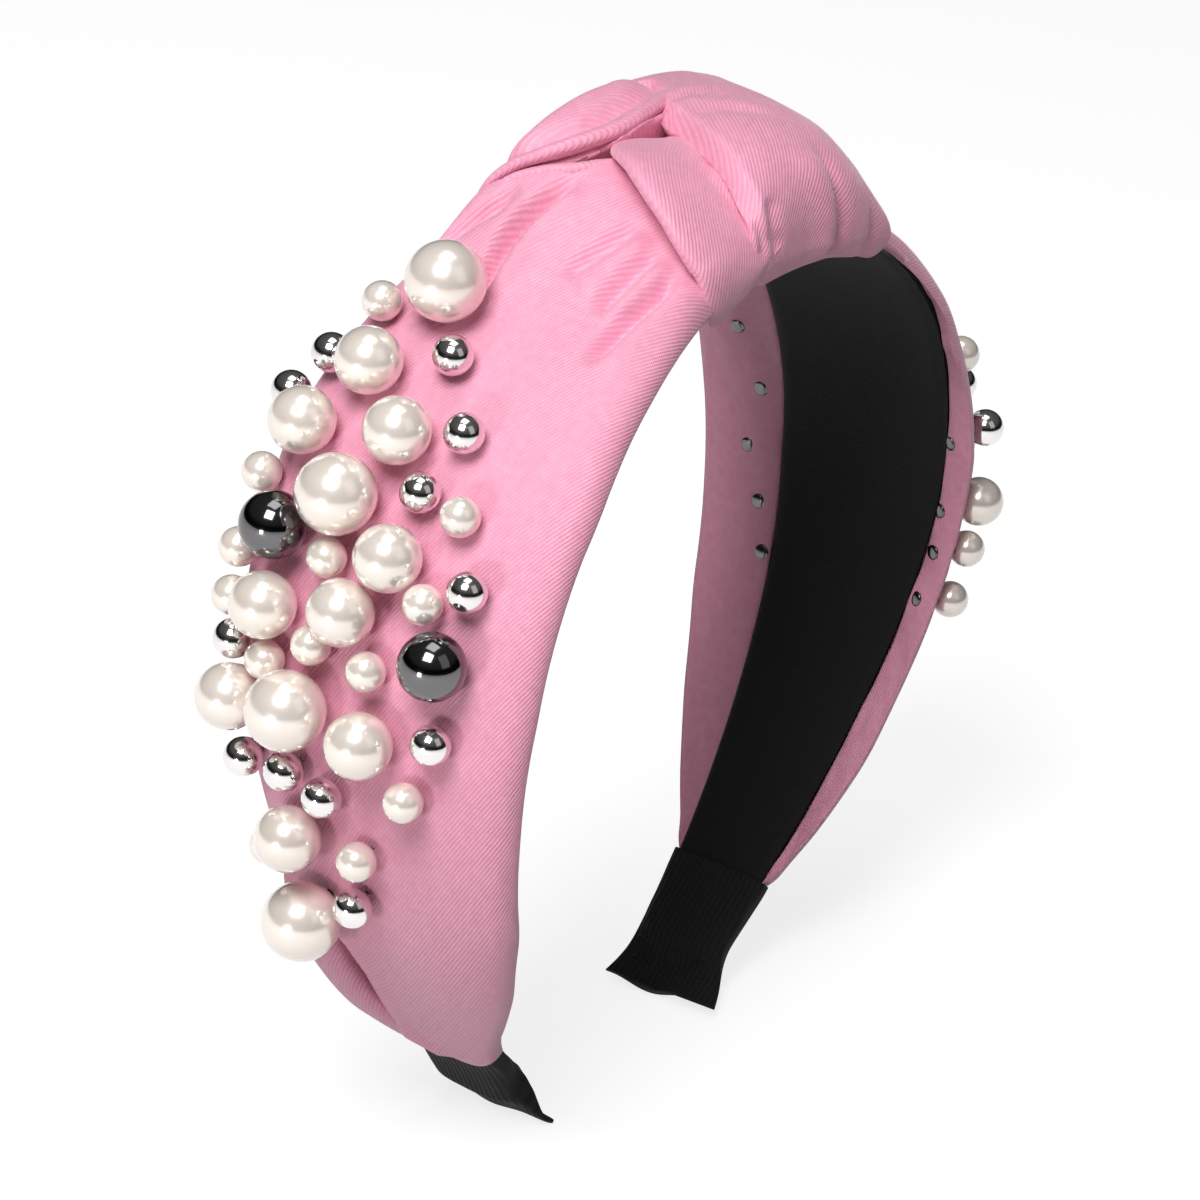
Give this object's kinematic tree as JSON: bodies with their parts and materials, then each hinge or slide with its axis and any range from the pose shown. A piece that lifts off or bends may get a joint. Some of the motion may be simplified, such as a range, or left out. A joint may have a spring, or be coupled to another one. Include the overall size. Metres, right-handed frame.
{
  "type": "headband",
  "caption": "Knotted fabric headband: a springy hoop with padded pink covers, black lining and riveted pearl and metal beads.",
  "frame": {"origin": "centre of the footprint: on the surface that the two tips stand on, midway between the arms and between the front and back extents", "axes": "+X from the left arm to the right arm as seen from the front, +Y from the front edge to the back edge of the band, +Z from the tips up to the knot"},
  "size_m": [0.161, 0.0599, 0.161],
  "materials": {
    "pink_satin": "fine diagonal satin twill, soft sheen",
    "lining_ribbon": "matt black ribbon, ribbed at the tips",
    "hoop_plastic": "moulded, matt",
    "foam": "thin open foam",
    "pearl": "ivory imitation pearl, glossy lustre",
    "silver_plating": "plated moulding, mirror-bright silver",
    "gunmetal_plating": "plated moulding, mirror-bright dark gunmetal",
    "rivet_steel": "nickel-plated, satin",
    "thread": "twisted polyester thread"
  },
  "bodies": {
    "crown": {"crown_core": "hoop_plastic", "crown_lining": "lining_ribbon", "knot_right_loop": "pink_satin", "knot_left_loop": "pink_satin"},
    "left_arm": {"left_core": "hoop_plastic", "left_lining": "lining_ribbon", "left_cover_inner": "pink_satin", "left_padding": "foam", "left_cover_outer": "pink_satin", "left_tip_wrap": "lining_ribbon", "left_tip_stitches": "thread", "left_pearls_12mm": "pearl", "left_pearls_10mm": "pearl", "left_pearls_6mm": "pearl", "left_silver_beads": "silver_plating", "left_gunmetal_beads": "gunmetal_plating", "left_large_rivets": "rivet_steel", "left_small_rivets": "rivet_steel"},
    "right_arm": {"right_core": "hoop_plastic", "right_lining": "lining_ribbon", "right_cover_inner": "pink_satin", "right_padding": "foam", "right_cover_outer": "pink_satin", "right_tip_wrap": "lining_ribbon", "right_tip_stitches": "thread", "right_pearls_12mm": "pearl", "right_pearls_10mm": "pearl", "right_pearls_8mm": "pearl", "right_pearls_6mm": "pearl", "right_silver_beads": "silver_plating", "right_gunmetal_beads": "gunmetal_plating", "right_large_rivets": "rivet_steel", "right_small_rivets": "rivet_steel"}
  },
  "joints": [
    {"name": "left_arm_flex", "type": "hinge", "parent": "crown", "child": "left_arm", "pos_m": [-0.03095, -0.004, 0.14146], "axis": [0, 1, 0], "range_deg": [-4, 12], "stiffness_Nm_per_rad": 2},
    {"name": "right_arm_flex", "type": "hinge", "parent": "crown", "child": "right_arm", "pos_m": [0.03095, -0.004, 0.14146], "axis": [0, -1, 0], "range_deg": [-4, 12], "stiffness_Nm_per_rad": 2}
  ]
}
